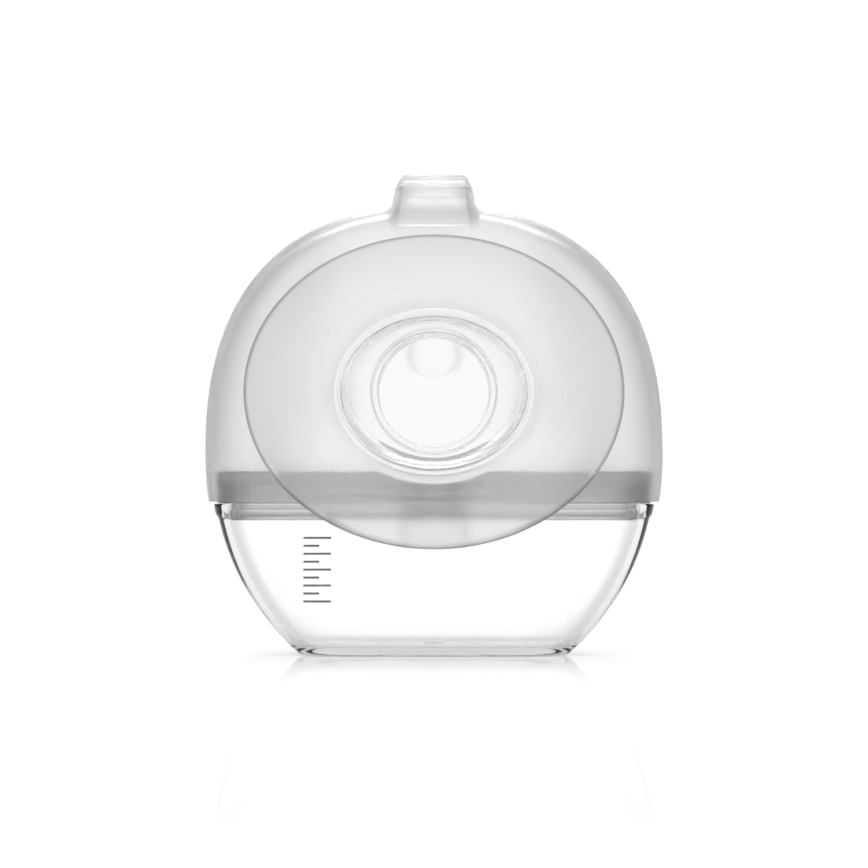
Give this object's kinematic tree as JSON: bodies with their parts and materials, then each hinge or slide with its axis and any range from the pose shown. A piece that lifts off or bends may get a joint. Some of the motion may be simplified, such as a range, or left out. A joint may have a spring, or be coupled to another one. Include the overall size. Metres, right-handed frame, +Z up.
{
  "type": "wearable breast pump",
  "caption": "Hands-free manual breast pump: clear milk cup, soft squeeze dome with a capped pour spout, and an oval breast shield with a nipple tunnel.",
  "frame": {"origin": "centre of the milk container's flat base, on the surface that it stands on", "axes": "+Z up from the base to the pour spout, -Y towards the wearer, out of the breast shield, +X to the wearer's left seen from behind the shield"},
  "size_m": [0.1114, 0.0645, 0.1157],
  "materials": {
    "clear_cup": "clear, polished inside and out",
    "frosted_lid": "translucent, satin",
    "seal_silicone": "translucent, matt",
    "dome_silicone": "frosted translucent, fine matt texture",
    "shield_silicone": "frosted translucent, satin"
  },
  "bodies": {
    "container": {"milk_container": "clear_cup"},
    "head": {"container_lid": "frosted_lid", "lid_gasket": "seal_silicone", "silicone_dome": "dome_silicone", "shield_frame": "clear_cup", "cap_strap": "dome_silicone"},
    "valve": {"duckbill_valve": "seal_silicone"},
    "shield": {"breast_shield": "shield_silicone"},
    "cap": {"spout_cap": "dome_silicone"},
    "press_zone": {"press_pad": "dome_silicone"}
  },
  "joints": [
    {"name": "lid_lift", "type": "slide", "parent": "container", "child": "head", "axis": [0, 0, 1], "range_m": [0, 0.045]},
    {"name": "cap_hinge", "type": "hinge", "parent": "head", "child": "cap", "pos_m": [0, -0.01725, 0.1148], "axis": [1, 0, 0], "range_deg": [0, 120]},
    {"name": "dome_squeeze", "type": "slide", "parent": "head", "child": "press_zone", "axis": [0, -1, 0], "range_m": [0, 0.012], "stiffness_N_per_m": 300},
    {"name": "shield_pull", "type": "slide", "parent": "head", "child": "shield", "axis": [0, -1, 0], "range_m": [0, 0.032]},
    {"name": "valve_pull", "type": "slide", "parent": "head", "child": "valve", "axis": [0, 0, -1], "range_m": [0, 0.009]}
  ]
}
